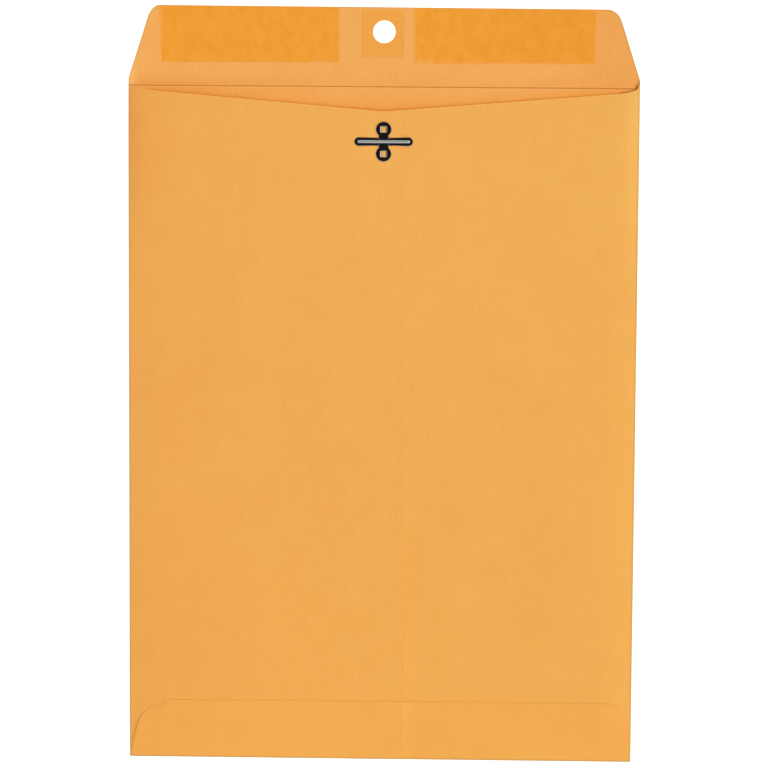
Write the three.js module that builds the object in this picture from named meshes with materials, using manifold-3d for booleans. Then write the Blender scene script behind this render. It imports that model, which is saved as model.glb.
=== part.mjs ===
// Clasp envelope, 9 x 12 in, kraft paper, lying on its address side with the seal flap open flat.
// Millimetres. +X to the right seen from the clasp side, +Y towards the seal flap, +Z up.
// Origin: centre of the footprint, on the table.
//
// One die-cut sheet is folded into the envelope. It is drawn here as flat plates joined by rounded
// folds, a little apart from each other: address panel below, a right and a left side panel folded
// in over it and glued where they overlap, a bottom flap folded up and glued over both, and the seal
// flap that turns about the score line. A one-piece stamped steel clasp is staked through the two
// overlapped side panels; its prongs bend up at their roots.

import * as THREE from "three";
import { mergeVertices } from "three/addons/utils/BufferGeometryUtils.js";
import Module from "manifold-3d";

const wasm = await Module();
wasm.setup();

// ---------------------------------------------------------------- driving dimensions
const WIDTH = 228.6; // 9 in
const BODY_H = 304.8; // 12 in, bottom fold to score line
const FLAP_H_LEFT = 35.8; // seal flap, score line to its tip, cut slightly out of square
const FLAP_H_RIGHT = 34.45;
const PAPER = 0.15; // 28 lb kraft
const GLUE = 0.04;
const SKIN_GAP = 0.02; // between stacked layers
const POCKET = 0.95; // air between the address panel and the right side panel

const Y_BOTTOM = -(BODY_H + FLAP_H_LEFT) / 2;
const Y_SCORE = Y_BOTTOM + BODY_H;
const HALF_W = WIDTH / 2;

// heights of the layers
const Z_RIGHT = PAPER + POCKET; // right side panel, the under layer
const Z_SEAM = Z_RIGHT + PAPER + SKIN_GAP;
const Z_LEFT = Z_SEAM + GLUE + SKIN_GAP; // left side panel, the top layer
const Z_TOP = Z_LEFT + PAPER; // upper face of the left side panel
const Z_BGLUE = Z_TOP + SKIN_GAP;
const Z_BFLAP = Z_BGLUE + GLUE + SKIN_GAP;

// seal flap joint: axis parallel to X above the score line, half of the closed thickness, so that the
// closed flap and its patch (down to 2 * axis - 0.27) pass over the spread prongs' ridge
const FLAP_AXIS_Z = 1.05;
const FLAP_SPLIT = 0.05; // half of the gap between the address panel and the flap

// clasp
const CLASP_X = 0.2;
const CLASP_Y = Y_SCORE - 24.52;
const METAL = 0.25; // tinned steel strip
const Z_METAL = Z_TOP + SKIN_GAP;
const EAR_R = 3.43;
const EAR_OFFSET = 5.44; // ear centre above and below the clasp's centre
const NECK_HALF = 2.2;
const HUB_HALF = 2.2;
const EAR_HOLE_DROP = 0.05; // the punched holes sit a little low in both ears
const EAR_HOLE_X = 2.96;
const EAR_HOLE_Y = 2.8;
const BURR_WALL = 0.18;
const BURR_PANEL_HOLE = 4.0; // square cut by the burr in both side panels
const BURR_PETAL = 0.95;
const BURR_PETAL_T = 0.11;
const PRONG_REACH = 13.05; // clasp centre to prong tip
const PRONG_AXIS = HUB_HALF + 0.25; // root bend, from the clasp's centre
const PRONG_ROOT = PRONG_AXIS + 0.05;
const PRONG_ROOT_W = 3.54;
const PRONG_MID = [6.5, 1.84]; // from the clasp's centre, and half-width there
const PRONG_TIP_W = 3.9;
const BEAD_HALF = 0.82; // stiffening ridge pressed along both prongs
const BEAD_H = 0.36;
const BEAD_HUB_END = 1.6;
const BEAD_PRONG_START = PRONG_AXIS + 0.85;
const BEAD_PRONG_END = 12.0;

// flap hole and patch
const HOLE_R = 5.05;
const PATCH_HOLE_R = 5.15;
const PATCH_T = 0.1;
const GUM_T = 0.04;

// ---------------------------------------------------------------- helpers
const kraft = () => new THREE.MeshStandardMaterial({ color: 0xefae59, roughness: 0.85, metalness: 0 });
const gum = () => new THREE.MeshStandardMaterial({ color: 0xee9c34, roughness: 0.45, metalness: 0 });
const glue = () => new THREE.MeshStandardMaterial({ color: 0xe6d9b8, roughness: 0.4, metalness: 0 });
const patch = () => new THREE.MeshStandardMaterial({ color: 0xefa34a, roughness: 0.75, metalness: 0 });
const steel = () => new THREE.MeshStandardMaterial({ color: 0x3a3840, roughness: 0.3, metalness: 0.9 });

function mesh(name, geometry, material) {
  const m = new THREE.Mesh(geometry, material);
  m.name = name;
  return m;
}

function weld(geometry) {
  const g = geometry.index ? geometry.toNonIndexed() : geometry.clone();
  g.deleteAttribute("normal");
  g.deleteAttribute("uv");
  return mergeVertices(g, 1e-4);
}

// flat plate: outline in X, Y, holes as lists of points, lower face at z
function plate(points, z, thickness, holes = []) {
  const shape = new THREE.Shape(points.map(([x, y]) => new THREE.Vector2(x, y)));
  for (const hole of holes) shape.holes.push(new THREE.Path(hole.map(([x, y]) => new THREE.Vector2(x, y))));
  const g = new THREE.ExtrudeGeometry(shape, { depth: thickness, bevelEnabled: false, steps: 1 });
  g.translate(0, 0, z);
  return weld(g);
}

function box(x0, x1, y0, y1, z0, z1) {
  const g = new THREE.BoxGeometry(x1 - x0, y1 - y0, z1 - z0);
  g.translate((x0 + x1) / 2, (y0 + y1) / 2, (z0 + z1) / 2);
  return weld(g);
}

function solid(geometry) {
  return new wasm.Manifold(
    new wasm.Mesh({
      numProp: 3,
      vertProperties: new Float32Array(geometry.attributes.position.array),
      triVerts: new Uint32Array(geometry.index.array),
    }),
  );
}

function unsolid(manifold) {
  const m = manifold.getMesh();
  const g = new THREE.BufferGeometry();
  const positions = new Float32Array((m.vertProperties.length / m.numProp) * 3);
  for (let i = 0; i < positions.length / 3; i++) {
    for (let k = 0; k < 3; k++) positions[3 * i + k] = m.vertProperties[i * m.numProp + k];
  }
  g.setAttribute("position", new THREE.BufferAttribute(positions, 3));
  g.setIndex(Array.from(m.triVerts));
  return g;
}

function circle(cx, cy, r, n) {
  return Array.from({ length: n }, (_, i) => {
    const a = (2 * Math.PI * i) / n;
    return [cx + r * Math.cos(a), cy + r * Math.sin(a)];
  });
}

function square(cx, cy, side) {
  const s = side / 2;
  return [[cx - s, cy - s], [cx + s, cy - s], [cx + s, cy + s], [cx - s, cy + s]];
}

// half ring in the X-Z plane, opening towards +X (side = 1) or -X (side = -1)
function foldRing(outer, side, steps = 10) {
  const inner = outer - PAPER;
  const ring = [];
  for (let i = 0; i <= steps; i++) {
    const a = Math.PI / 2 + (Math.PI * i) / steps;
    ring.push([outer * Math.cos(a), outer * Math.sin(a)]);
  }
  for (let i = steps; i >= 0; i--) {
    const a = Math.PI / 2 + (Math.PI * i) / steps;
    ring.push([inner * Math.cos(a), inner * Math.sin(a)]);
  }
  return side > 0 ? ring : ring.map(([x, z]) => [-x, z]).reverse();
}

// ---------------------------------------------------------------- folds
const R_LEFT = Z_TOP / 2; // outer radius of the left side fold
const R_RIGHT = (Z_RIGHT + PAPER) / 2;
const R_BOTTOM = (Z_BFLAP + PAPER) / 2;
const Y_FOLD_IN = Y_BOTTOM + R_BOTTOM; // where the bottom fold's flats start
const Y_PANEL_LOW = Y_FOLD_IN + SKIN_GAP;
const SIDE_Y0 = Y_PANEL_LOW;
const TIP_RISE = 2.8; // the right side fold runs this far past the score line
const LEFT_DROP = 0.57; // the left one ends this far below it
const X_LEFT_FLAT = -HALF_W + R_LEFT;
const X_RIGHT_FLAT = HALF_W - R_RIGHT;

function sideFold(outer, side, xCentre, y0, y1) {
  const shape = new THREE.Shape(foldRing(outer, side).map(([x, z]) => new THREE.Vector2(x, z)));
  const g = new THREE.ExtrudeGeometry(shape, { depth: y1 - y0, bevelEnabled: false, steps: 1 });
  g.rotateX(Math.PI / 2); // profile Y becomes world Z, depth runs to -Y
  g.translate(xCentre, y1, outer);
  return weld(g);
}

const leftFold = sideFold(R_LEFT, 1, X_LEFT_FLAT, SIDE_Y0, Y_SCORE - LEFT_DROP);
const rightFold = sideFold(R_RIGHT, -1, X_RIGHT_FLAT, SIDE_Y0, Y_SCORE + TIP_RISE);

// bottom fold: the same half ring along X
const bottomFold = (() => {
  const shape = new THREE.Shape(foldRing(R_BOTTOM, 1).map(([u, z]) => new THREE.Vector2(u, z)));
  const x0 = -HALF_W + 0.1;
  const x1 = HALF_W - 0.1;
  const g = new THREE.ExtrudeGeometry(shape, { depth: x1 - x0, bevelEnabled: false, steps: 1 });
  g.rotateX(Math.PI / 2); // profile in X-Z, depth to -Y
  g.rotateZ(Math.PI / 2); // profile in Y-Z, depth to +X
  g.translate(x0, Y_FOLD_IN, R_BOTTOM);
  return weld(g);
})();

// ---------------------------------------------------------------- paper panels
const XL = X_LEFT_FLAT + SKIN_GAP;
const XR = X_RIGHT_FLAT - SKIN_GAP;

const addressPanel = plate(
  [[XL, Y_PANEL_LOW], [XR, Y_PANEL_LOW], [XR, Y_SCORE - FLAP_SPLIT], [XL, Y_SCORE - FLAP_SPLIT]],
  0,
  PAPER,
);

// throat: shallow V with a rounded bottom, y counted from the score line
const THROAT_LEFT = [[XL, -LEFT_DROP], [-110.5, -0.7], [-108.7, -1.0], [-106.5, -1.55], [-102.9, -2.08], [-99.8, -2.36], [-94.4, -2.79], [-3.6, -10.7], [-1.8, -10.85], [0.2, -10.9]];
const THROAT_RIGHT = [[0.2, -10.9], [2.2, -10.82], [4.1, -10.67], [57.5, -6.47], [100.2, -3.12], [105.5, -2.66], [107.6, -2.38], [109.9, -1.78], [111.7, -0.87], [112.85, -0.1], [113.5, 1.1], [XR, 1.5]];
const SEAM_EDGE_TOP = 8.7; // free edge of the left side panel
const SEAM_EDGE_BOTTOM = 10.5;
const RIGHT_INNER_EDGE = -8; // hidden edge of the right side panel

const throatYAt = (x) => {
  for (let i = 0; i + 1 < THROAT_RIGHT.length; i++) {
    const [x0, y0] = THROAT_RIGHT[i];
    const [x1, y1] = THROAT_RIGHT[i + 1];
    if (x >= x0 && x <= x1) return y0 + ((y1 - y0) * (x - x0)) / (x1 - x0);
  }
  return THROAT_RIGHT[0][1];
};

const earCentres = [
  [CLASP_X, CLASP_Y + EAR_OFFSET],
  [CLASP_X, CLASP_Y - EAR_OFFSET],
];
const stakeHoles = () => earCentres.map(([x, y]) => square(x, y - EAR_HOLE_DROP, BURR_PANEL_HOLE));

const leftPanel = plate(
  [
    [XL, Y_PANEL_LOW],
    [SEAM_EDGE_BOTTOM, Y_PANEL_LOW],
    [SEAM_EDGE_TOP, Y_SCORE + throatYAt(SEAM_EDGE_TOP)],
    ...THROAT_RIGHT.filter(([x]) => x < SEAM_EDGE_TOP).reverse().map(([x, y]) => [x, Y_SCORE + y]),
    ...THROAT_LEFT.slice(0, -1).reverse().map(([x, y]) => [x, Y_SCORE + y]),
  ],
  Z_LEFT,
  PAPER,
  stakeHoles(),
);

const rightPanel = plate(
  [
    [RIGHT_INNER_EDGE, Y_PANEL_LOW],
    [XR, Y_PANEL_LOW],
    ...THROAT_RIGHT.slice().reverse().map(([x, y]) => [x, Y_SCORE + y]),
    [-2.2, Y_SCORE - 10.8],
    [RIGHT_INNER_EDGE, Y_SCORE - 10.35],
  ],
  Z_RIGHT,
  PAPER,
  stakeHoles(),
);

// its right corner is a plain curve, its left one has a small shoulder
const BFLAP_RIGHT = [[113.9, 9.8], [113.0, 16.8], [111.5, 21.8], [108.9, 24.9], [105.5, 26.6], [101, 27.0], [60, 26.97], [0, 26.85], [-60, 26.75]];
const BFLAP_LEFT = [[-93.5, 26.72], [-96.2, 26.66], [-97.6, 26.1], [-98.4, 24.9], [-99.7, 24.25], [-101.6, 23.95], [-104.4, 23.0], [-106.5, 21.55], [-108.4, 19.6], [-109.85, 17.5], [-112.05, 9.9], [-113.1, 4.8]];
const bottomFlap = plate(
  [
    [-113.4, Y_FOLD_IN + SKIN_GAP],
    [113.9, Y_FOLD_IN + SKIN_GAP],
    ...[...BFLAP_RIGHT, ...BFLAP_LEFT].map(([x, y]) => [x, Y_BOTTOM + y]),
  ],
  Z_BFLAP,
  PAPER,
);

// seal flap: short vertical shoulders, slanted sides, rounded top corners, clasp hole; its right
// shoulder is notched so that it clears the folded corner of the right side panel
const HOLE_Y = Y_SCORE + 24.3;
const NOTCH_X = 112.3;
const NOTCH_Y = 2.95;
const FLAP_SIDE_LEFT = [[-101.0, FLAP_H_LEFT], [-102.73, 34.87], [-104.03, 33.54], [-104.89, 32.21], [-105.52, 30.88], [-106.73, 26.89], [-114.1, 4.1], [-HALF_W, 2.9]];
const FLAP_SIDE_RIGHT = [[HALF_W, NOTCH_Y], [114.0, 3.9], [106.33, 27.73], [105.31, 30.37], [104.54, 31.69], [103.24, 33.0], [101.5, 34.1], [100, FLAP_H_RIGHT]];
const sealFlap = plate(
  [
    [-HALF_W, FLAP_SPLIT],
    [NOTCH_X, FLAP_SPLIT],
    [NOTCH_X, NOTCH_Y],
    ...FLAP_SIDE_RIGHT,
    ...FLAP_SIDE_LEFT,
  ].map(([x, y]) => [x, Y_SCORE + y]),
  0,
  PAPER,
  [circle(CLASP_X, HOLE_Y, HOLE_R, 40)],
);

// the flap's upper edge falls a little from left to right
const flapTipAt = (x) => FLAP_H_LEFT + ((FLAP_H_RIGHT - FLAP_H_LEFT) * (x + 101)) / 201;

// ---------------------------------------------------------------- gum, patch and glue
const Z_FLAP_TOP = PAPER + SKIN_GAP;
const gumStrip = (x0, x1, y0a, y0b) =>
  plate(
    [
      [x0, Y_SCORE + y0a],
      [x1, Y_SCORE + y0b],
      [x1, Y_SCORE + flapTipAt(x1) - 0.15],
      [x0, Y_SCORE + flapTipAt(x0) - 0.15],
    ],
    Z_FLAP_TOP,
    GUM_T,
  );
const gumLeft = gumStrip(-99.9, -19.9, 10.5, 10.6);
const gumRight = gumStrip(13.3, 94.4, 10.1, 10.4);

const holePatch = plate(
  [[-9.6, 13.15], [9.1, 13.15], [9.1, 33.65], [-9.6, 33.65]].map(([x, y]) => [x, Y_SCORE + y]),
  Z_FLAP_TOP,
  PATCH_T,
  [circle(CLASP_X, HOLE_Y, PATCH_HOLE_R, 40)],
);

// seam glue: a strip between the overlapped panels, open round the clasp's burrs
const seamGlue = plate(
  [
    [-6, Y_PANEL_LOW + 1],
    [7, Y_PANEL_LOW + 1],
    [7, Y_SCORE - 12],
    [-6, Y_SCORE - 12],
  ],
  Z_SEAM,
  GLUE,
  earCentres.map(([x, y]) => square(x, y - EAR_HOLE_DROP, 5.2)),
);

// bottom-flap glue: thin on the left side panel, thicker past its free edge, down to the right one
const bottomGlue = unsolid(
  solid(box(-104, 104, Y_PANEL_LOW + 2, Y_BOTTOM + 20, Z_BGLUE, Z_BGLUE + GLUE)).add(
    solid(box(11.2, 104, Y_PANEL_LOW + 2, Y_BOTTOM + 20, Z_RIGHT + PAPER + SKIN_GAP, Z_BGLUE + GLUE / 2)),
  ),
);

// ---------------------------------------------------------------- clasp
// half-round ridge along X, sunk a little into the strip so that the join is solid
function bead(x0, x1) {
  const n = 8;
  const r = (BEAD_HALF * BEAD_HALF + BEAD_H * BEAD_H) / (2 * BEAD_H);
  const half = Math.asin(BEAD_HALF / r);
  const pts = [[-BEAD_HALF, -METAL / 2], [BEAD_HALF, -METAL / 2]];
  for (let i = 0; i <= n; i++) {
    const a = half - (2 * half * i) / n;
    pts.push([r * Math.sin(a), BEAD_H - r + r * Math.cos(a)]);
  }
  const shape = new THREE.Shape(pts.map(([y, z]) => new THREE.Vector2(y, z)));
  const g = new THREE.ExtrudeGeometry(shape, { depth: x1 - x0, bevelEnabled: false, steps: 1 });
  g.rotateX(Math.PI / 2);
  g.rotateZ(Math.PI / 2);
  g.translate(CLASP_X + x0, CLASP_Y, Z_METAL + METAL);
  return weld(g);
}

// base outline: two round ears on a neck
const baseOutline = (() => {
  const pts = [];
  const fillet = Math.asin(NECK_HALF / EAR_R);
  const side = (sx) => {
    const out = [];
    const start = -Math.PI / 2 + fillet;
    for (let i = 0; i <= 14; i++) {
      const a = start + ((Math.PI - fillet) * i) / 14;
      out.push([sx * EAR_R * Math.cos(a), EAR_OFFSET + EAR_R * Math.sin(a)]);
    }
    return out;
  };
  const right = side(1); // neck to the top of the upper ear
  const hub = [[HUB_HALF, -1.7], [HUB_HALF, 1.7]];
  pts.push(...hub);
  pts.push(...right);
  pts.push(...right.slice(0, -1).reverse().map(([x, y]) => [-x, y]));
  pts.push([-HUB_HALF, 1.7], [-HUB_HALF, -1.7]);
  pts.push(...right.map(([x, y]) => [-x, -y]));
  pts.push(...right.slice(0, -1).reverse().map(([x, y]) => [x, -y]));
  return pts.map(([x, y]) => [CLASP_X + x, CLASP_Y + y]);
})();

let clasp = solid(plate(baseOutline, Z_METAL, METAL)).add(solid(bead(-BEAD_HUB_END, BEAD_HUB_END)));
const Z_PETAL = Z_RIGHT - SKIN_GAP - BURR_PETAL_T;
for (const [x, yEar] of earCentres) {
  const y = yEar - EAR_HOLE_DROP;
  const [ix, iy] = [EAR_HOLE_X / 2, EAR_HOLE_Y / 2];
  const [ox, oy] = [ix + BURR_WALL, iy + BURR_WALL];
  clasp = clasp.add(solid(box(x - ox, x + ox, y - oy, y + oy, Z_PETAL, Z_METAL + METAL / 2)));
  // four petals clinched outwards under the right side panel
  const w = 1.25;
  clasp = clasp.add(solid(box(x - ox - BURR_PETAL, x + ox + BURR_PETAL, y - w, y + w, Z_PETAL, Z_PETAL + BURR_PETAL_T)));
  clasp = clasp.add(solid(box(x - w, x + w, y - oy - BURR_PETAL, y + oy + BURR_PETAL, Z_PETAL, Z_PETAL + BURR_PETAL_T)));
  clasp = clasp.subtract(solid(box(x - ix, x + ix, y - iy, y + iy, Z_PETAL - 1, Z_METAL + METAL + 1)));
}

// prong: flat tongue, narrow at the root, wide at the rounded tip, with its ridge
function prong(side) {
  const rTip = PRONG_TIP_W / 2;
  const [xMid, hMid] = PRONG_MID;
  const pts = [[PRONG_ROOT, -PRONG_ROOT_W / 2], [xMid, -hMid], [PRONG_REACH - rTip, -rTip]];
  for (let i = 1; i < 12; i++) {
    const a = -Math.PI / 2 + (Math.PI * i) / 12;
    pts.push([PRONG_REACH - rTip + rTip * Math.cos(a), rTip * Math.sin(a)]);
  }
  pts.push([PRONG_REACH - rTip, rTip], [xMid, hMid], [PRONG_ROOT, PRONG_ROOT_W / 2]);
  const outline = (side > 0 ? pts : pts.map(([x, y]) => [-x, y]).reverse()).map(([x, y]) => [CLASP_X + x, CLASP_Y + y]);
  const ridge = side > 0 ? bead(BEAD_PRONG_START, BEAD_PRONG_END) : bead(-BEAD_PRONG_END, -BEAD_PRONG_START);
  return unsolid(solid(plate(outline, Z_METAL, METAL)).add(solid(ridge)));
}

// ---------------------------------------------------------------- the assembly
const envelope = new THREE.Group();

const body = new THREE.Group();
body.add(
  mesh("address_panel", addressPanel, kraft()),
  mesh("left_side_fold", leftFold, kraft()),
  mesh("right_side_fold", rightFold, kraft()),
  mesh("left_side_panel", leftPanel, kraft()),
  mesh("right_side_panel", rightPanel, kraft()),
  mesh("bottom_fold", bottomFold, kraft()),
  mesh("bottom_flap", bottomFlap, kraft()),
  mesh("seam_glue", seamGlue, glue()),
  mesh("bottom_flap_glue", bottomGlue, glue()),
  mesh("clasp_base", unsolid(clasp), steel()),
);

const flap = new THREE.Group();
flap.add(
  mesh("seal_flap", sealFlap, kraft()),
  mesh("gum_strip_left", gumLeft, gum()),
  mesh("gum_strip_right", gumRight, gum()),
  mesh("hole_patch", holePatch, patch()),
);

envelope.add(body, flap, mesh("prong_left", prong(-1), steel()), mesh("prong_right", prong(1), steel()));

export default envelope;
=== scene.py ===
# Clasp envelope, 9 x 12 in, kraft paper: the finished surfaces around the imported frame.
# Lengths below are in millimetres in the frame's own axes; MM turns them into metres.
import math

import bpy
import numpy as np
from mathutils import Matrix, Vector
from mathutils.geometry import delaunay_2d_cdt


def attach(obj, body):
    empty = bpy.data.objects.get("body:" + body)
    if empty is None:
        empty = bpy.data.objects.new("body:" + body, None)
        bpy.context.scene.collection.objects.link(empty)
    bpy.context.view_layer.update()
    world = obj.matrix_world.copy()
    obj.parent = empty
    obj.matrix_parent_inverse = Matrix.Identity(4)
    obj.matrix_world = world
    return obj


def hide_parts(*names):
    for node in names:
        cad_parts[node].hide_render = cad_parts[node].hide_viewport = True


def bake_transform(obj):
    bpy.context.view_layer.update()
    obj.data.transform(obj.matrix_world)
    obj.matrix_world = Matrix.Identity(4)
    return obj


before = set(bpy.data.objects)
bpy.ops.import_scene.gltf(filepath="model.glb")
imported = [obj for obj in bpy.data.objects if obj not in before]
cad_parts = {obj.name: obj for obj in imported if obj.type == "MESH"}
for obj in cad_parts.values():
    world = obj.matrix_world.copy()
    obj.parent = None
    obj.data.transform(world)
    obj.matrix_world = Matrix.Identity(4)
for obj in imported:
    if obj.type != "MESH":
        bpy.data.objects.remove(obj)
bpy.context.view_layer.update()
MM = 0.001
scene = bpy.context.scene

# ---------------------------------------------------------------- dimensions, as the frame has them
WIDTH, BODY_H = 228.6, 304.8
FLAP_H_LEFT, FLAP_H_RIGHT = 35.8, 34.45
PAPER = 0.15
HALF_W = WIDTH / 2
Y_BOTTOM = -(BODY_H + FLAP_H_LEFT) / 2
Y_SCORE = Y_BOTTOM + BODY_H
Z_RIGHT, Z_LEFT = 1.10, 1.33  # lower faces of the side panels in the middle of the pocket
Z_METAL, METAL = 1.50, 0.25
CLASP_X, CLASP_Y = 0.2, Y_SCORE - 24.52
HOLE_X, HOLE_Y, HOLE_R = 0.2, Y_SCORE + 24.3, 5.05
AXIS_Z = 1.05

# folds: half-width of the bend in plan, and its outer height
SIDE_A = 0.36
BASE_A = 0.44
X0 = HALF_W - SIDE_A  # the panels are flat inside +-X0
Y0 = Y_BOTTOM + BASE_A
RING = math.pi * (SIDE_A - PAPER / 2)  # length of paper in a side fold
BASE_RING = math.pi * (BASE_A - PAPER / 2)

# throat: x, and y from the score line
THROAT_LEFT = [[-113.94, -0.57], [-110.5, -0.7], [-108.7, -1.0], [-106.5, -1.55], [-102.9, -2.08], [-99.8, -2.36], [-94.4, -2.79], [-3.6, -10.7], [-1.8, -10.85], [0.2, -10.9]]
THROAT_RIGHT = [[0.2, -10.9], [2.2, -10.82], [4.1, -10.67], [57.5, -6.47], [100.2, -3.12], [105.5, -2.66], [107.6, -2.38], [109.4, -1.98], [110.9, -1.57], [112.1, -1.19], [112.88, -0.84], [113.17, -0.42], [113.35, 0.1], [113.58, 0.7], [113.76, 1.35], [113.87, 2.0]]
SEAM_TOP, SEAM_BOTTOM = 8.7, 10.5  # x of the left panel's free edge
RIGHT_INNER = -8.0
TIP = Y_SCORE + 2.93  # the right fold reaches a little past the score
MOUTH_LEFT, MOUTH_RIGHT = 0.78, 0.56  # how far the panels sink towards the address panel along the throat


# ---------------------------------------------------------------- small maths
def clip01(t):
    return np.clip(t, 0.0, 1.0)


def smooth(t):
    t = clip01(t)
    return t * t * (3 - 2 * t)


def rise_table(width, ramp):
    """0 to 1 over width: starts level, is steepest after ramp, and levels out again."""
    d = np.linspace(0, width, 400)
    slope = np.minimum(1, d / ramp) * (1 - d / width)
    z = np.concatenate([[0], np.cumsum((slope[1:] + slope[:-1]) / 2)])
    return d, z / z[-1]


LEFT_RISE = rise_table(19, 1.3)
RIGHT_RISE = rise_table(13, 1.3)
BASE_RISE = rise_table(15, 1.3)
RIGHT_SPRING = 0.38


def near(point_x, point_y, poly):
    """Distance from points to an open line through poly's points."""
    best = np.full(np.shape(point_x), 1e9)
    for (ax, ay), (bx, by) in zip(poly[:-1], poly[1:]):
        dx, dy = bx - ax, by - ay
        t = clip01(((point_x - ax) * dx + (point_y - ay) * dy) / max(dx * dx + dy * dy, 1e-12))
        best = np.minimum(best, np.hypot(point_x - ax - t * dx, point_y - ay - t * dy))
    return best


def rounded(points, n=6):
    """A smooth line through points (Catmull-Rom), n steps in each gap."""
    p = np.array(points, float)
    p = np.vstack([2 * p[0] - p[1], p, 2 * p[-1] - p[-2]])
    out = []
    for i in range(1, len(p) - 2):
        a, b, c, d = p[i - 1], p[i], p[i + 1], p[i + 2]
        for k in range(n):
            t = k / n
            out.append(0.5 * (2 * b + (c - a) * t + (2 * a - 5 * b + 4 * c - d) * t * t + (3 * b - a - 3 * c + d) * t ** 3))
    out.append(p[-2])
    return [list(q) for q in out]


# ---------------------------------------------------------------- the paper's heights
def wave(x, y):
    """Slight unevenness of a large sheet, level round the clasp and along the folds."""
    w = (
        0.055 * np.sin(x / 13.9 + 0.7) * np.sin(y / 22.3 + 0.4)
        + 0.035 * np.sin(x / 31.0 - y / 17.7 + 1.9)
        + 0.02 * np.sin(x / 7.9 + y / 11.3)
    )
    calm = 1 - np.exp(-(((x - CLASP_X) ** 2 + (y - CLASP_Y) ** 2) / 32.0 ** 2))
    return w * calm * rise(x + X0, LEFT_RISE) * rise(X0 - x, RIGHT_RISE) * rise(y - Y0, BASE_RISE)


def rise(d, table):
    return np.interp(d, table[0], table[1])


def fold_height(y, springy=-0.36):
    """Outer height of a side fold: pressed flattest at the bottom; springy is how much it opens or closes near the throat."""
    return 0.56 + 0.16 * smooth((y - Y0) / 14) + springy * smooth((y - (Y_SCORE - 22)) / 20)


def mouth(x, y):
    """1 along the throat's edge, 0 from 12 mm below it."""
    return 1 - smooth(near(x, y, THROAT_XY) / 12)


THROAT_R_XY = [[x, Y_SCORE + y] for x, y in THROAT_RIGHT]
THROAT_L_XY = [[x, Y_SCORE + y] for x, y in THROAT_LEFT]
THROAT_XY = THROAT_L_XY + THROAT_R_XY[1:]


def seam_x(y):
    return SEAM_TOP + (SEAM_BOTTOM - SEAM_TOP) * (Y_SCORE - y) / BODY_H


def right_low(x, y):
    """Lower face of the right side panel."""
    edge = fold_height(y, RIGHT_SPRING) - PAPER
    across = rise(X0 - x, RIGHT_RISE)
    return edge + (Z_RIGHT - edge) * across * rise(y - Y0, BASE_RISE) - MOUTH_RIGHT * mouth(x, y) * across + wave(x, y)


def left_low(x, y):
    """Lower face of the left side panel, which climbs over the hidden edge of the right one."""
    edge = fold_height(y) - PAPER
    base = rise(y - Y0, BASE_RISE)
    across = rise(x + X0, LEFT_RISE)
    free = edge + (Z_LEFT - edge) * across * base - MOUTH_LEFT * mouth(x, y) * across + wave(x, y)
    over = right_low(x, y) + PAPER + 0.03 + 0.05 * base
    lift = smooth((x + 17) / 7.5)
    return free * (1 - lift) + over * lift


def stack_top(x, y):
    """Upper face of the glued side panels, under the bottom flap."""
    xe = seam_x(y)
    left = left_low(x, y) + PAPER
    right = right_low(x, y) + PAPER
    step = left_low(xe, y) - right_low(xe, y)
    drape = right + step * (1 - smooth((x - xe - 0.15) / 2.3))
    return np.where(x < xe + 0.15, left, drape)


BFLAP_RIGHT = [[113.9, 9.8], [113.0, 16.8], [111.5, 21.8], [108.9, 24.9], [105.5, 26.6], [101, 27.0]]
BFLAP_LEFT = [[-93.5, 26.72], [-96.2, 26.66], [-97.6, 26.1], [-98.4, 24.9], [-99.7, 24.25], [-101.6, 23.95], [-104.4, 23.0], [-106.5, 21.55], [-108.4, 19.6], [-109.85, 17.5], [-112.05, 9.9], [-113.1, 4.8]]
BFLAP_EDGE = [[x, Y_BOTTOM + y] for x, y in [[113.9, 1.2]] + rounded(BFLAP_RIGHT, 5) + [[60, 26.97], [0, 26.85], [-60, 26.75]] + rounded(BFLAP_LEFT, 5) + [[-113.45, 1.2]]]


def flap_low(x, y):
    """Lower face of the glued bottom flap; its left corner isn't stuck down and stands off a little."""
    loose = 0.32 * smooth((-105.0 - x) / 6) * smooth((y - Y_BOTTOM - 1.5) / 6)
    return stack_top(x, y) + 0.02 + loose


def score_y(x):
    """The score isn't quite square to the sides."""
    return Y_SCORE - 0.06 - 0.003 * x


def sheet_low(x, y):
    """Lower face of the address panel and the open seal flap, eased up along the score and over the tab at its right end."""
    ridge = 0.13 * np.exp(-(((y - score_y(x)) / 2.4) ** 2)) * smooth((x + 113) / 14)
    corner = 0.18 * smooth((x - 105) / 6) * smooth((y - (Y_SCORE - 5)) / 3) * (1 - smooth((y - (Y_SCORE + 3.8)) / 4))
    return np.maximum(ridge, corner)


# ---------------------------------------------------------------- sheets with real thickness
def area(p):
    x, y = p.T
    return 0.5 * np.sum(x * np.roll(y, -1) - np.roll(x, -1) * y)


def split(loop, step_at):
    """The closed loop with its long segments divided; step_at(u, v) gives the longest step there."""
    out = []
    for a, b in zip(loop, loop[1:] + loop[:1]):
        a, b = np.array(a, float), np.array(b, float)
        length = np.hypot(*(b - a))
        t, stops = 0.0, [0.0]
        while length > 0:
            p = a + (b - a) * t / length
            q = a + (b - a) * min(length, t + 0.3) / length
            s = min(step_at(*p), step_at(*q) + 0.15)
            t += max(s, 0.01)
            if t >= length:
                break
            stops.append(t)
        if len(stops) > 1 and length - stops[-1] < 0.35 * (stops[-1] - stops[-2]):
            stops.pop()
        out += [list(a + (b - a) * s / length) for s in stops] if length > 0 else []
    return out


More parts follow.
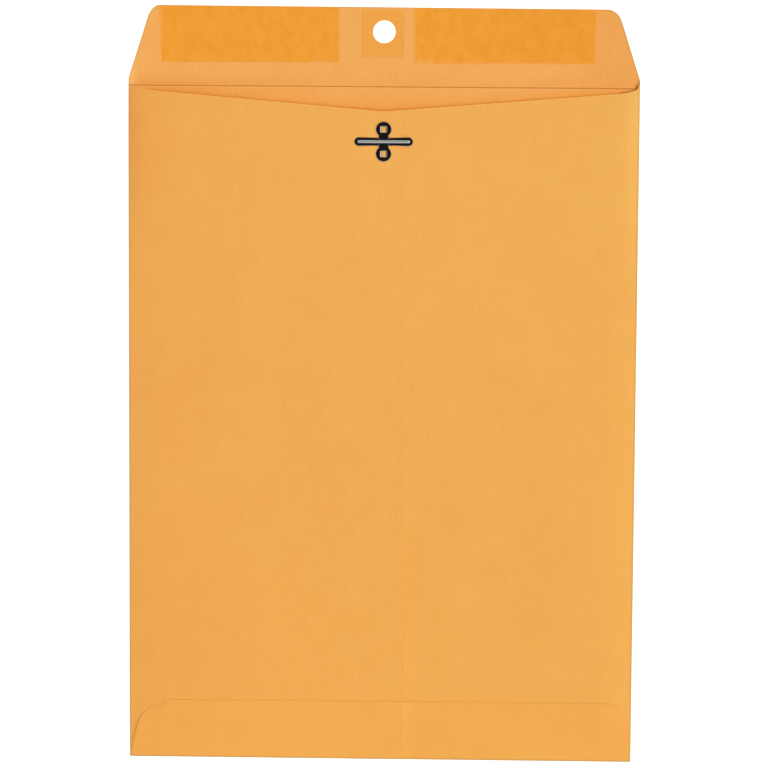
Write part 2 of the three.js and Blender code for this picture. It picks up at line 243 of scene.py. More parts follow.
def inside(p, loops):
    """Even-odd test of points against closed loops."""
    hit = np.zeros(len(p), bool)
    for loop in loops:
        a, b = loop, np.roll(loop, -1, 0)
        for (ax, ay), (bx, by) in zip(a, b):
            if ay == by:
                continue
            crosses = (ay > p[:, 1]) != (by > p[:, 1])
            at = ax + (p[:, 1] - ay) * (bx - ax) / (by - ay)
            hit ^= crosses & (p[:, 0] < at)
    return hit


def clearance(p, loops):
    best = np.full(len(p), 1e9)
    for loop in loops:
        best = np.minimum(best, near(p[:, 0], p[:, 1], [tuple(q) for q in loop] + [tuple(loop[0])]))
    return best


def inward(loop):
    """For each vertex, the way into the material at unit distance from both edges; material is on the left."""
    e1 = loop - np.roll(loop, 1, 0)
    e2 = np.roll(loop, -1, 0) - loop
    e1 /= np.linalg.norm(e1, axis=1)[:, None]
    e2 /= np.linalg.norm(e2, axis=1)[:, None]
    n1 = np.stack([-e1[:, 1], e1[:, 0]], 1)
    n2 = np.stack([-e2[:, 1], e2[:, 0]], 1)
    m = (n1 + n2) / np.maximum(1 + np.sum(n1 * n2, 1), 0.2)[:, None]
    return m


def stretch(knots, gains):
    """A rising map of one coordinate that is gains[i] times as steep between knots[i] and knots[i + 1], and 1 outside."""
    xs = np.array([knots[0] - 1000] + list(knots) + [knots[-1] + 1000], float)
    ys = np.concatenate([[0], np.cumsum(np.diff(xs) * np.array([1] + list(gains) + [1]))])
    return lambda t: np.interp(t, xs, ys - 1000)


def shell(name, loops, place, half, seeds, rim=0.03, rings=1, rim_at=None, flip=False, flat=None, third=None, extra=None, margin=0.3, warp=None, materials=()):
    """A closed sheet. loops: outline first, then holes, in the sheet's own flat u, v. place(u, v) gives its mid-surface.
    half(u, v) gives half its thickness above and below as a pair. The cut edges are rounded by rim over rings steps.
    warp stretches u and v for the triangulation only, so that narrow folds get well-shaped faces."""
    wu, wv = warp or (lambda t: t, lambda t: t)
    warped = lambda p: np.stack([wu(p[:, 0]), wv(p[:, 1])], 1)
    loops = [np.array(p, float) for p in loops]
    loops = [p[::-1] if (area(p) < 0) == (i == 0) else p for i, p in enumerate(loops)]
    ways = [inward(p) for p in loops]
    rims = [np.full(len(p), rim) if rim_at is None else np.array([rim_at(*q) for q in p]) for p in loops]
    inner = [p + w * r[:, None] for p, w, r in zip(loops, ways, rims)]
    wide = [warped(p) for p in inner]
    seeds = np.array(seeds, float).reshape(-1, 2)
    if len(seeds):
        there = warped(seeds)
        seeds = seeds[inside(there, wide) & (clearance(there, wide) > margin)]
    flat_in = np.vstack(inner + ([seeds] if len(seeds) else []))
    starts = np.cumsum([0] + [len(p) for p in inner])
    edges = [(s + i, s + (i + 1) % n) for s, n in zip(starts[:-1], [len(p) for p in inner]) for i in range(n)]
    verts, _, faces, origin, _, _ = delaunay_2d_cdt([Vector(q) for q in warped(flat_in)], edges, [], 0, 1e-6)
    crossings = [tuple(v) for v, o in zip(verts, origin) if len(o) == 0]
    if crossings:
        raise RuntimeError(f"{name}: its outline crosses itself at {crossings[:8]}")
    uv = flat_in[[o[0] for o in origin]]
    tri = np.array([f for f in faces if len(f) == 3], int)
    mid = warped(uv)[tri].mean(1)
    size = np.cross(uv[tri[:, 1]] - uv[tri[:, 0]], uv[tri[:, 2]] - uv[tri[:, 0]])
    good = inside(mid, wide) & (np.abs(size) > 1e-9)
    tri, size = tri[good], size[good]
    tri[size < 0] = tri[size < 0][:, ::-1]
    new_of = {}
    for i, olds in enumerate(origin):
        for o in olds:
            new_of[o] = i

    def lay(u, v, up):
        """up is a signed share of the local half thickness."""
        e = 0.01
        p = np.stack(place(u, v), 1)
        du = np.stack(place(u + e, v), 1) - np.stack(place(u - e, v), 1)
        dv = np.stack(place(u, v + e), 1) - np.stack(place(u, v - e), 1)
        n = np.cross(du, dv)
        n /= np.linalg.norm(n, axis=1)[:, None]
        return p + (-n if flip else n) * up[:, None]

    n_flat = len(uv)
    above, below = half(uv[:, 0], uv[:, 1])
    points = [lay(uv[:, 0], uv[:, 1], above), lay(uv[:, 0], uv[:, 1], -below)]
    flats = [uv, uv]
    count = 2 * n_flat
    polys = [tuple(t) for t in tri] + [tuple(t[::-1] + n_flat) for t in tri]
    which = [0] * len(tri) + [1] * len(tri)
    sharp = []
    for li, (loop, way, r) in enumerate(zip(loops, ways, rims)):
        n = len(loop)
        top = [new_of[starts[li] + i] for i in range(n)]
        rows = [top]
        a_top, a_bot = half(loop[:, 0], loop[:, 1])
        for sgn, lim in ((1, a_top), (-1, a_bot)):
            ks = range(rings - 1, -1, -1) if sgn > 0 else range(0, rings)
            for k in ks:
                ang = 0.5 * math.pi * k / rings
                q = loop + way * (r * (1 - math.cos(ang)))[:, None]
                rr = np.minimum(r, lim * 0.9)
                up = sgn * (lim - rr + rr * math.sin(ang))
                points.append(lay(q[:, 0], q[:, 1], up))
                flats.append(q)
                rows.append(list(range(count, count + n)))
                count += n
        rows.append([t + n_flat for t in top])
        for a, b in zip(rows[:-1], rows[1:]):
            for i in range(n):
                j = (i + 1) % n
                polys.append((a[j], a[i], b[i], b[j]))
                which.append(2)
        if rings == 1:
            for row in (rows[0], rows[-1]):
                sharp += [frozenset((row[i], row[(i + 1) % n])) for i in range(n)]
    if flip:
        polys = [p[::-1] for p in polys]
    co = np.vstack(points) * MM
    fl = np.vstack(flats)
    me = bpy.data.meshes.new(name)
    me.from_pydata([tuple(p) for p in co], [], [tuple(int(i) for i in p) for p in polys])
    me.polygons.foreach_set("use_smooth", [True] * len(polys))
    for m in materials:
        me.materials.append(m)
    me.polygons.foreach_set("material_index", [min(w, len(materials) - 1) for w in which] if materials else [0] * len(polys))
    if flat is not None:
        fx, fy = flat(fl[:, 0], fl[:, 1])
    else:
        fx, fy = fl[:, 0], fl[:, 1]
    # for the materials: where a point is on the flat sheet, and how far right it is on the folded one (in units of 100 mm)
    at = me.attributes.new("flat", "FLOAT_VECTOR", "POINT")
    fz = co[:, 0] * 10 if third is None else third(fl[:, 0], fl[:, 1])
    at.data.foreach_set("vector", np.stack([fx, fy, fz], 1).astype(np.float32).ravel())
    if extra is not None:
        more = me.attributes.new(extra[0], "FLOAT_VECTOR", "POINT")
        far = extra[1](fl[:, 0], fl[:, 1])
        more.data.foreach_set("vector", np.stack([far, 0 * far, 0 * far], 1).astype(np.float32).ravel())
    if sharp:
        sharp = set(sharp)
        for e in me.edges:
            if frozenset(e.vertices) in sharp:
                e.use_edge_sharp = True
    me.update()
    me.validate()
    ob = bpy.data.objects.new(name, me)
    scene.collection.objects.link(ob)
    return ob


def grid(us, vs):
    u, v = np.meshgrid(np.array(us, float), np.array(vs, float))
    return np.stack([u.ravel(), v.ravel()], 1)


def beside(line, gaps, step):
    """Points along a line and a little off it on both sides, for detail near cut edges."""
    out = []
    for a, b in zip(line[:-1], line[1:]):
        a, b = np.array(a, float), np.array(b, float)
        length = np.hypot(*(b - a))
        n = max(1, int(length / step))
        t = (b - a) / max(length, 1e-9)
        w = np.array([-t[1], t[0]])
        for i in range(n):
            p = a + (b - a) * (i + 0.5) / n
            for g in gaps:
                out += [p + w * g, p - w * g]
    return out


# ---------------------------------------------------------------- materials
def linear(r, g, b):
    out = []
    for c in (r, g, b):
        c /= 255.0
        out.append(c / 12.92 if c <= 0.04045 else ((c + 0.055) / 1.055) ** 2.4)
    return out


LIGHT = 0.955  # how bright a white sheet lying here would be


def tone(r, g, b):
    """Reflectance of paper that should look r, g, b in this light."""
    return [min(0.95, c / LIGHT) for c in linear(r, g, b)]


class Tree:
    """Short words for building a material."""

    def __init__(self, name):
        self.m = bpy.data.materials.new(name)
        self.m.use_nodes = True
        self.t = self.m.node_tree
        self.t.nodes.clear()
        self.out = self.t.nodes.new("ShaderNodeOutputMaterial")
        self.bsdf = self.t.nodes.new("ShaderNodeBsdfPrincipled")
        self.link(self.bsdf.outputs[0], self.out.inputs["Surface"])
        a = self.t.nodes.new("ShaderNodeAttribute")
        a.attribute_name = "flat"
        self.flat = a.outputs["Vector"]

    def link(self, a, b):
        self.t.links.new(a, b)

    def put(self, socket, value):
        if isinstance(value, bpy.types.NodeSocket):
            self.link(value, socket)
        elif hasattr(value, "__len__"):
            v = list(value)
            if len(v) == 3 and socket.type == "RGBA":
                v.append(1.0)
            socket.default_value = v
        else:
            socket.default_value = value

    def math(self, op, a, b=0.0, clamp=False, plus=None):
        n = self.t.nodes.new("ShaderNodeMath")
        n.operation = op
        n.use_clamp = clamp
        self.put(n.inputs[0], a)
        self.put(n.inputs[1], b)
        if plus is not None:
            self.put(n.inputs[2], plus)
        return n.outputs[0]

    def scaled(self, sx, sy, shift=0.0, turn=0.0):
        n = self.t.nodes.new("ShaderNodeMapping")
        self.put(n.inputs["Vector"], self.flat)
        n.inputs["Scale"].default_value = (sx, sy, 1)
        n.inputs["Location"].default_value = (shift, shift * 0.37, shift * 0.11)
        n.inputs["Rotation"].default_value = (0, 0, turn)
        return n.outputs[0]

    def noise(self, vector, scale=1.0, detail=3.0, rough=0.55):
        n = self.t.nodes.new("ShaderNodeTexNoise")
        n.noise_dimensions = "2D"
        self.put(n.inputs["Vector"], vector)
        n.inputs["Scale"].default_value = scale
        n.inputs["Detail"].default_value = detail
        n.inputs["Roughness"].default_value = rough
        return n.outputs["Fac"]

    def band(self, value, lo, hi, to_lo=0.0, to_hi=1.0):
        n = self.t.nodes.new("ShaderNodeMapRange")
        n.interpolation_type = "SMOOTHSTEP"
        self.put(n.inputs["Value"], value)
        n.inputs["From Min"].default_value = lo
        n.inputs["From Max"].default_value = hi
        n.inputs["To Min"].default_value = to_lo
        n.inputs["To Max"].default_value = to_hi
        return n.outputs["Result"]

    def mix(self, fac, a, b, kind="MIX"):
        n = self.t.nodes.new("ShaderNodeMix")
        n.data_type = "RGBA"
        n.blend_type = kind
        n.clamp_factor = True
        self.put(n.inputs[0], fac)
        self.put(n.inputs[6], a)
        self.put(n.inputs[7], b)
        return n.outputs[2]

    def bump(self, height, strength, distance):
        n = self.t.nodes.new("ShaderNodeBump")
        n.inputs["Strength"].default_value = strength
        n.inputs["Distance"].default_value = distance
        self.put(n.inputs["Height"], height)
        self.link(n.outputs[0], self.bsdf.inputs["Normal"])

    def split(self):
        n = self.t.nodes.new("ShaderNodeSeparateXYZ")
        self.put(n.inputs[0], self.flat)
        return n.outputs[0], n.outputs[1], n.outputs[2]

    def tinted(self, col, fac, lo, hi):
        """col times a tint that goes from lo to hi."""
        return self.mix(1.0, col, self.mix(fac, lo, hi), "MULTIPLY")


def kraft(name, colour, contrast=1.0, score=0.0, rough=0.82, fleck=0.05, painted_shades=(), painted_fold_shade=False, throat=False, lip_highlight=False):
    """Machine-made kraft paper: cloudy formation, short fibres that run along the web, fine grain and a few flecks.
    The shade tints paint light and shade as slow changes of tone over the sheet: axis, from, to, tint there, tint here,
    and where along y they come in; the fold flag paints shade on the outer side along the three folds; throat paints
    bounced light and shade inside the mouth, painted shade along the flap's cut edges and a painted shadow in the
    crevice at the mouth's right corner; the lip flag is a painted highlight along the cut edge of the mouth."""
    k = Tree(name)
    x, y, across = k.split()
    broad = k.noise(k.scaled(0.031, 0.024, 6.6), 1.0, 2.0, 0.5)
    cloud = k.noise(k.scaled(0.11, 0.08, 3.1), 1.0, 4.0, 0.6)
    streak = k.noise(k.scaled(0.9, 0.16, 9.7), 1.0, 3.0, 0.6)
    fibre = k.noise(k.scaled(2.1, 0.85, 5.3, 0.35), 1.0, 4.0, 0.65)
    fibre2 = k.noise(k.scaled(0.8, 2.3, 7.9, -0.5), 1.0, 4.0, 0.65)
    grain = k.noise(k.scaled(4.6, 4.6, 1.7), 1.0, 3.0, 0.7)
    f = k.math("MULTIPLY_ADD", k.math("SUBTRACT", cloud, 0.5), 0.64 * contrast, plus=0.5)
    for src, w in ((broad, 0.55), (streak, 0.65), (fibre, 1.3), (fibre2, 1.3), (grain, 1.3)):
        f = k.math("ADD", f, k.math("MULTIPLY", k.math("SUBTRACT", src, 0.5), w * contrast))
    lo = [c * s for c, s in zip(colour, (0.970, 0.935, 0.85))]
    hi = [c * s for c, s in zip(colour, (1.030, 1.065, 1.15))]
    col = k.mix(f, lo, hi)
    flecks = k.band(k.noise(k.scaled(1.5, 0.6, 21.0, 0.9), 1.0, 2.0, 0.5), 0.70, 0.78)
    col = k.mix(k.math("MULTIPLY", flecks, fleck * 3), col, [c * s for c, s in zip(colour, (0.80, 0.66, 0.48))])
    # painted light and shade: each entry tints the sheet slowly where the light falls on it unevenly
    for axis, a, b, there, here, *part in painted_shades:
        fac = k.band({"x": x, "y": y, "across": across}[axis], a, b)
        if part:
            fac = k.math("MULTIPLY", k.math("SUBTRACT", 1.0, fac), k.band(y, *part))
            there, here = here, there
        col = k.tinted(col, fac, there, here)
    # painted shade on the outer rounding of the side folds and of the bottom fold, where the paper turns away from the
    # light
    if painted_fold_shade:
        side = k.band(k.math("ABSOLUTE", k.math("SUBTRACT", k.math("ABSOLUTE", x), X0 + RING / 2)), 0.30, 1.15, 1.0, 0.0)
        foot_fold_shade = k.band(k.math("ABSOLUTE", k.math("SUBTRACT", y, Y0 - BASE_RING / 2)), 0.30, 1.15, 1.0, 0.0)
        col = k.tinted(col, side, (1.0, 1.0, 1.0), (0.74, 0.84, 1.12))
        col = k.tinted(col, foot_fold_shade, (1.0, 1.0, 1.0), (0.66, 0.77, 1.12))
    if throat or lip_highlight:
        at = x if throat else k.math("MULTIPLY", across, 100.0)
        left = k.math("MULTIPLY_ADD", at, -0.0871, plus=Y_SCORE - 11.01)
        right = k.math("MULTIPLY_ADD", at, 0.0786, plus=Y_SCORE - 10.99)
        depth = k.math("SUBTRACT", y, k.math("MAXIMUM", left, right))
    # painted highlight: a thin lighter band along the cut edge of the mouth, where it catches the light
    if lip_highlight:
        edge = k.math("MULTIPLY", k.band(depth, -0.62, -0.25), k.band(k.math("ABSOLUTE", at), 104.0, 109.0, 1.0, 0.0))
        col = k.tinted(col, edge, (1.0, 1.0, 1.0), (1.085, 1.06, 1.04))
    if throat:
        # painted bounced light and shade: the paper turns a darker orange towards the panels' edges inside the mouth
        throat_bounce_shade = k.math("POWER", math.e, k.math("MULTIPLY", k.math("MAXIMUM", depth, 0.0), -1 / 2.8))
        throat_bounce_shade = k.math("MULTIPLY", throat_bounce_shade, k.band(x, 0.0, 70.0, 1.0, 0.8))
        throat_bounce_shade = k.math("MULTIPLY", throat_bounce_shade, k.band(x, -109.0, -102.0, 0.1, 1.0))
        throat_bounce_shade = k.math("MULTIPLY", throat_bounce_shade, k.band(y, Y_SCORE - 0.8, Y_SCORE + 0.6, 1.0, 0.0))
        col = k.tinted(col, throat_bounce_shade, (1.0, 1.0, 1.0), (0.985, 0.785, 0.41))
        # painted shade along the flap's cut edges
        col = k.tinted(col, k.band(across, 0.10, 0.85, 1.0, 0.0), (1.0, 1.0, 1.0), (0.80, 0.86, 0.98))
        # painted shadow: a dark band in the crevice under the raised edge at the mouth's right corner and in the nook
        # beside it
        n = k.t.nodes.new("ShaderNodeAttribute")
        n.attribute_name = "corner"
        s = k.t.nodes.new("ShaderNodeSeparateXYZ")
        k.link(n.outputs["Vector"], s.inputs[0])
        crevice_shadow = k.math("POWER", math.e, k.math("MULTIPLY", s.outputs[0], -1 / 0.42))
        nook_shadow = k.math("MULTIPLY", k.band(s.outputs[0], 0.15, 1.0, 1.0, 0.0), k.band(x, 110.4, 112.6))
        col = k.tinted(col, k.math("MAXIMUM", crevice_shadow, nook_shadow), (1.0, 1.0, 1.0), (0.47, 0.28, 0.12))
    if score > 0:
        over = k.math("SUBTRACT", y, k.math("MULTIPLY_ADD", x, -0.003, plus=Y_SCORE - 0.06))
        off = k.math("ABSOLUTE", over)
        # painted highlight: a thin light line on both sides of the score where its relief catches the light, stronger
        # on the pocket's side
        raised = k.math("MULTIPLY", k.band(off, 0.36, 0.52), k.band(off, 0.78, 1.0, 1.0, 0.0))
        raised = k.math("MULTIPLY", raised, k.band(over, -0.1, 0.1, 1.0, 0.35))
        col = k.tinted(col, k.math("MULTIPLY", raised, score), (1.0, 1.0, 1.0), (1.02, 1.13, 1.28))
        # painted shade beside the score, as in the shallow valley of the fold, mostly on the flap's side and wider
        # towards its two ends
        ends = k.math("MAXIMUM", k.band(x, -85.0, -5.0, 1.0, 0.45), k.band(x, 35.0, 100.0, 0.35, 1.0))
        ends = k.math("MULTIPLY", ends, k.band(x, -113.0, -108.5, 0.15, 1.0))
        ends = k.math("MULTIPLY", ends, k.band(y, Y_SCORE - 1.6, Y_SCORE - 0.1, 0.35, 1.0))
        score_shade = k.math("MULTIPLY", k.band(off, 0.0, 8.0, 1.0, 0.0), ends)
        col = k.tinted(col, k.math("MULTIPLY", score_shade, min(1.0, score * 1.1)), (1.0, 1.0, 1.0), (0.972, 0.885, 0.80))
        # the score's dark line: partly the darker pressed fibres, partly painted shade in its groove
        wear = k.band(k.noise(k.scaled(0.35, 0.0, 2.2), 1.0, 3.0, 0.6), 0.25, 0.75, 0.8, 1.0)
        narrow = k.math("MULTIPLY", off, k.band(x, -112.0, -75.0, 0.84, 1.0))
        line = k.math("MULTIPLY", k.band(narrow, 0.12, 0.36, 1.0, 0.0), wear)
        # near its left end the blade has touched the paper a second time, just above
        again = k.math("ABSOLUTE", k.math("SUBTRACT", y, k.math("MULTIPLY_ADD", x, -0.003, plus=Y_SCORE + 1.05)))
        touched = k.math("MULTIPLY", k.band(x, -95.0, -55.0, 0.28, 0.0), k.band(x, -112.0, -107.5, 0.1, 1.0))
        line = k.math("MAXIMUM", line, k.math("MULTIPLY", k.band(again, 0.10, 0.40, 1.0, 0.0), touched))
        col = k.mix(k.math("MULTIPLY", line, score, True), col, [c * s for c, s in zip(colour, (0.62, 0.46, 0.27))])
    k.put(k.bsdf.inputs["Base Color"], col)
    k.put(k.bsdf.inputs["Roughness"], k.math("MULTIPLY_ADD", k.math("SUBTRACT", fibre, 0.5), 0.16, plus=rough))
    k.bsdf.inputs["Specular IOR Level"].default_value = 0.28
    h = k.math("ADD", k.math("MULTIPLY", fibre, 0.5), k.math("ADD", k.math("MULTIPLY", fibre2, 0.5), k.math("MULTIPLY", grain, 0.4)))
    k.bump(h, 0.35, 0.00003)
    return k.m


def gum(name, colour, paper):
    """Dried remoistenable gum rolled on the flap: a thin, slightly glossy, blotchy film on its paper."""
    k = Tree(name)
    cloud = k.noise(k.scaled(0.16, 0.13, 4.4), 1.0, 5.0, 0.62)
    roll = k.noise(k.scaled(0.7, 0.22, 8.8), 1.0, 3.0, 0.6)
    grain = k.noise(k.scaled(3.2, 3.2, 12.0), 1.0, 4.0, 0.7)
    f = k.math("MULTIPLY_ADD", k.math("SUBTRACT", cloud, 0.5), 1.3, plus=0.5)
    for src, w in ((roll, 0.5), (grain, 0.9)):
        f = k.math("ADD", f, k.math("MULTIPLY", k.math("SUBTRACT", src, 0.5), w))
    lo = [c * s for c, s in zip(colour, (0.95, 0.905, 0.30))]
    hi = [c * s for c, s in zip(colour, (1.05, 1.095, 1.70))]
    col = k.mix(f, lo, hi)
    x, y, _ = k.split()
    col = k.tinted(col, k.band(x, 10.0, 85.0), (1.0, 1.0, 1.0), (0.975, 0.965, 0.88))
    # the roller ran dry in two places at the lower edge and lets the paper show in small dashes
    dashes = k.noise(k.scaled(1.1, 2.6, 31.0), 1.0, 3.0, 0.7)
    low = k.band(y, Y_SCORE + 10.9, Y_SCORE + 12.9, 1.0, 0.0)
    spots = k.math("MAXIMUM", k.band(k.math("ABSOLUTE", k.math("ADD", x, 27.5)), 2.5, 6.0, 1.0, 0.0), k.band(k.math("ABSOLUTE", k.math("SUBTRACT", x, 18.0)), 2.5, 6.0, 1.0, 0.0))
    bare = k.math("MULTIPLY", k.band(dashes, 0.47, 0.60), k.math("MULTIPLY", low, spots))
    # all along that edge the film is thin and uneven, more so on the right strip
    feather = k.math("MULTIPLY", k.band(y, Y_SCORE + 10.2, Y_SCORE + 11.3, 1.0, 0.0), k.band(x, -5.0, 5.0, 0.4, 0.8))
    bare = k.math("MAXIMUM", bare, k.math("MULTIPLY", feather, k.band(dashes, 0.38, 0.58)))
    # and thins out at both ends of each strip
    ends = k.math("MINIMUM", k.math("ABSOLUTE", k.math("ADD", x, 19.7)), k.math("ABSOLUTE", k.math("ADD", x, 100.1)))
    ends = k.math("MINIMUM", ends, k.math("MINIMUM", k.math("ABSOLUTE", k.math("SUBTRACT", x, 13.3)), k.math("ABSOLUTE", k.math("SUBTRACT", x, 94.7))))
    thin = k.math("MULTIPLY", k.band(ends, 0.0, 1.1, 0.75, 0.0), k.band(grain, 0.3, 0.6, 0.6, 1.0))
    k.put(k.bsdf.inputs["Base Color"], k.mix(k.math("MAXIMUM", bare, thin), col, paper))
    k.put(k.bsdf.inputs["Roughness"], k.math("MULTIPLY_ADD", k.math("SUBTRACT", grain, 0.5), 0.3, plus=0.42))
    k.bsdf.inputs["Specular IOR Level"].default_value = 0.35
    k.bump(k.math("ADD", k.math("MULTIPLY", grain, 0.5), k.math("MULTIPLY", cloud, 0.6)), 0.35, 0.00004)
    return k.m


def glue(name):
    k = Tree(name)
    cloud = k.noise(k.scaled(0.5, 0.5, 6.1), 1.0, 4.0, 0.6)
    k.put(k.bsdf.inputs["Base Color"], k.mix(cloud, [0.74, 0.62, 0.42], [0.84, 0.76, 0.60]))
    k.put(k.bsdf.inputs["Roughness"], k.math("MULTIPLY_ADD", cloud, 0.3, plus=0.25))
    k.bump(cloud, 0.3, 0.00003)
    return k.m


def steel(name):
    """Thin tinned strip: smooth, faint rolling lines and small stains."""
    k = Tree(name)
    rolled = k.noise(k.scaled(0.5, 9.0, 2.0), 1.0, 4.0, 0.6)
    stain = k.noise(k.scaled(0.9, 0.9, 5.0), 1.0, 4.0, 0.6)
    f = k.math("ADD", k.math("MULTIPLY", rolled, 0.4), k.math("MULTIPLY", stain, 0.6))
    k.put(k.bsdf.inputs["Base Color"], k.mix(f, [0.35, 0.347, 0.35], [0.49, 0.486, 0.476]))
    k.bsdf.inputs["Metallic"].default_value = 1.0
    k.put(k.bsdf.inputs["Roughness"], k.math("MULTIPLY_ADD", stain, 0.08, plus=0.065))
    k.bump(k.math("ADD", k.math("MULTIPLY", rolled, 0.6), k.math("MULTIPLY", stain, 0.8)), 0.2, 0.000008)
    return k.m


OUTER = tone(238.3, 170.5, 81.4)
INNER = tone(240.0, 168.0, 86.0)
SAME = (1.0, 1.0, 1.0)
# painted light and shade on the outer faces of the side panels: darker on the left and along the left edge, lighter at
# the right edge, at the top right and just below the mouth, cooler towards the top and warmer towards the bottom
paper_outer = kraft(
    "kraft_outer", OUTER, painted_fold_shade=True, lip_highlight=True,
    painted_shades=[
        ("across", -1.5, 1.5, (1.0, 0.975, 0.97), (1.0, 1.012, 1.008)),
        ("y", -190.0, 160.0, (1.004, 0.985, 0.94), (0.996, 1.01, 1.045)),
        ("across", -0.95, -0.45, (0.987, 0.970, 0.955), SAME),
        ("across", -1.15, -0.97, (1.002, 1.005, 1.035), SAME),
        ("across", 0.98, 1.14, SAME, (1.0, 1.018, 1.012)),
        ("across", -1.16, -0.86, (0.99, 0.935, 0.88), SAME, 50.0, 115.0),
        ("across", -1.13, -1.05, (0.95, 0.94, 0.885), SAME, 60.0, 96.0),
        ("across", -0.62, 0.05, (1.028, 1.012, 0.99), SAME, 128.0, 143.0),
        ("across", 1.12, 1.05, (1.035, 1.10, 1.16), SAME, 30.0, 140.0),
    ],
)
# painted shade on the left side of the bottom flap's outer face, and on its folds
paper_base = kraft("kraft_outer_base", tone(240.0, 168.9, 75.6), painted_fold_shade=True, painted_shades=[("across", -1.15, -0.5, (0.985, 0.955, 0.985), SAME)])
paper_inner = kraft("kraft_inner", INNER, 1.05)
# painted shadow on the inner face of the right fold at the mouth, a dark band in its crevice
paper_nook_shadow = kraft("kraft_inner_nook_shadow", INNER, 1.05, painted_shades=[("y", Y_SCORE + 0.1, Y_SCORE + 2.3, (0.62, 0.40, 0.22), SAME, Y_SCORE - 2.5, Y_SCORE + 0.1)])
# painted light and shade on the inner face: lighter at the flap's left end, darker in the throat on the left and at the
# flap's right end, with the painted shade and highlight of the score, the painted bounce in the mouth and the painted
# shadow at its right corner
paper_flap = kraft(
    "kraft_inner_scored", INNER, 1.2, score=0.95, throat=True,
    painted_shades=[
        ("x", -113.0, -98.0, (1.005, 1.06, 1.10), SAME, Y_SCORE + 1.0, Y_SCORE + 7.0),
        ("x", -113.2, -109.5, (1.05, 1.13, 1.22), SAME, Y_SCORE + 0.5, Y_SCORE + 1.3),
        ("x", -95.0, -35.0, (0.962, 0.965, 1.01), SAME, Y_SCORE + 0.3, Y_SCORE - 0.9),
        ("x", 102.0, 86.0, (0.968, 0.925, 0.875), SAME, Y_SCORE + 1.0, Y_SCORE + 7.0),
    ],
)
paper_back = kraft("kraft_outer_scored", OUTER, 1.0, score=0.25)
# the cut edges are darker: painted shade along the sheet's outline
paper_cut_shade = kraft("kraft_cut_edge", [c * s for c, s in zip(OUTER, (0.84, 0.88, 0.95))], 1.3)
paper_lip = kraft("kraft_cut_lip", [c * s for c, s in zip(OUTER, (1.0, 1.0, 0.98))], 1.3)
patch_look = kraft("patch_kraft", tone(238.4, 160.6, 64.5), 1.3, rough=0.7)
gum_look = gum("dried_gum_film", tone(238.6, 154.4, 41.5), INNER)
glue_look = glue("dried_glue")
steel_look = steel("tinned_steel")

# ---------------------------------------------------------------- address panel and seal flap, one scored sheet
half_paper = lambda u, v: (0 * u + PAPER / 2, 0 * u + PAPER / 2)


def score_half(u, v):
    """The score is a fine groove pressed into the inner face."""
    groove = 0.05 * np.exp(-(((v - score_y(u)) / 0.17) ** 2))
    return PAPER / 2 - groove, 0 * u + PAPER / 2


def steps_sheet(u, v):
    d = abs(v - Y_SCORE)
    if d < 0.8:
        return 0.12
    if d < 6:
        return 0.6
    return 3.0


corner_right = rounded([[107.19, 25.06], [106.33, 27.73], [105.31, 30.37], [104.54, 31.69], [103.24, 33.0], [101.5, 34.1], [100, 34.45], [97, 34.5]], 6)[6:]
corner_left = rounded([[-98, 35.79], [-101.0, 35.74], [-102.73, 34.87], [-104.03, 33.54], [-104.89, 32.21], [-105.52, 30.88], [-106.73, 26.89], [-107.99, 23.0]], 6)[:-6]
sheet_loop = (
    [[-X0, Y0], [X0, Y0], [X0, Y_SCORE - 1.3], [112.33, Y_SCORE - 1.3], [112.3, Y_SCORE + 2.95], [114.3, Y_SCORE + 2.95], [114.0, Y_SCORE + 3.9]]
    + [[x, Y_SCORE + y] for x, y in corner_right]
    + [[x, Y_SCORE + y] for x, y in corner_left]
    + [[-114.1, Y_SCORE + 4.1], [-114.3, Y_SCORE + 2.9], [-114.3, Y_SCORE - 0.93], [-X0, Y_SCORE - 0.98]]
)


def circle(cx, cy, r, n):
    return [[cx + r * math.cos(2 * math.pi * i / n), cy + r * math.sin(2 * math.pi * i / n)] for i in range(n)]


flap_line = [p for p in sheet_loop[4:] if p[1] > Y_SCORE - 1]


def from_edge(u, v):
    """How far a point is from the flap's cut outline, up to 3 mm."""
    d = near(u, v, flap_line[1:])
    return np.where(v > Y_SCORE - 2, np.minimum(d, 3.0), 3.0)


THROAT_CORNER = [p for p in THROAT_XY if p[0] > 104]


def from_corner(u, v):
    """How far a point is from the raised edge at the mouth's right corner, up to 3 mm."""
    return np.minimum(near(u, v, THROAT_CORNER), 3.0)


score_rows = [s * d for d in (0.07, 0.14, 0.21, 0.29, 0.38, 0.5, 0.65) for s in (-1, 1)] + [0]
score_net = grid(np.arange(-113.4, 112, 1.6), score_rows)
score_net[:, 1] += score_y(score_net[:, 0])
sheet_seeds = np.vstack([
    score_net,
    grid(np.arange(-112.8, 113, 2.4), [Y_SCORE + d * s for d in (1.3, 1.9, 2.6, 3.4, 4.4, 5.6) for s in (-1, 1)]),
    grid(np.arange(-110, 111, 5.0), np.arange(Y0 + 3, Y_SCORE - 8, 6.0)),
    [p for p in grid(np.arange(-112, 113, 4.0), np.arange(Y_SCORE + 8, Y_SCORE + 36, 3.5)) if from_edge(p[0], p[1]) > 2.2],
    [p for p in beside(flap_line, (0.3, 0.6, 0.95, 1.6), 1.6) if p[1] > Y_SCORE + 0.8],
    beside(THROAT_CORNER, (0.02, 0.3, 0.6, 1.0, 1.6), 0.6),
])
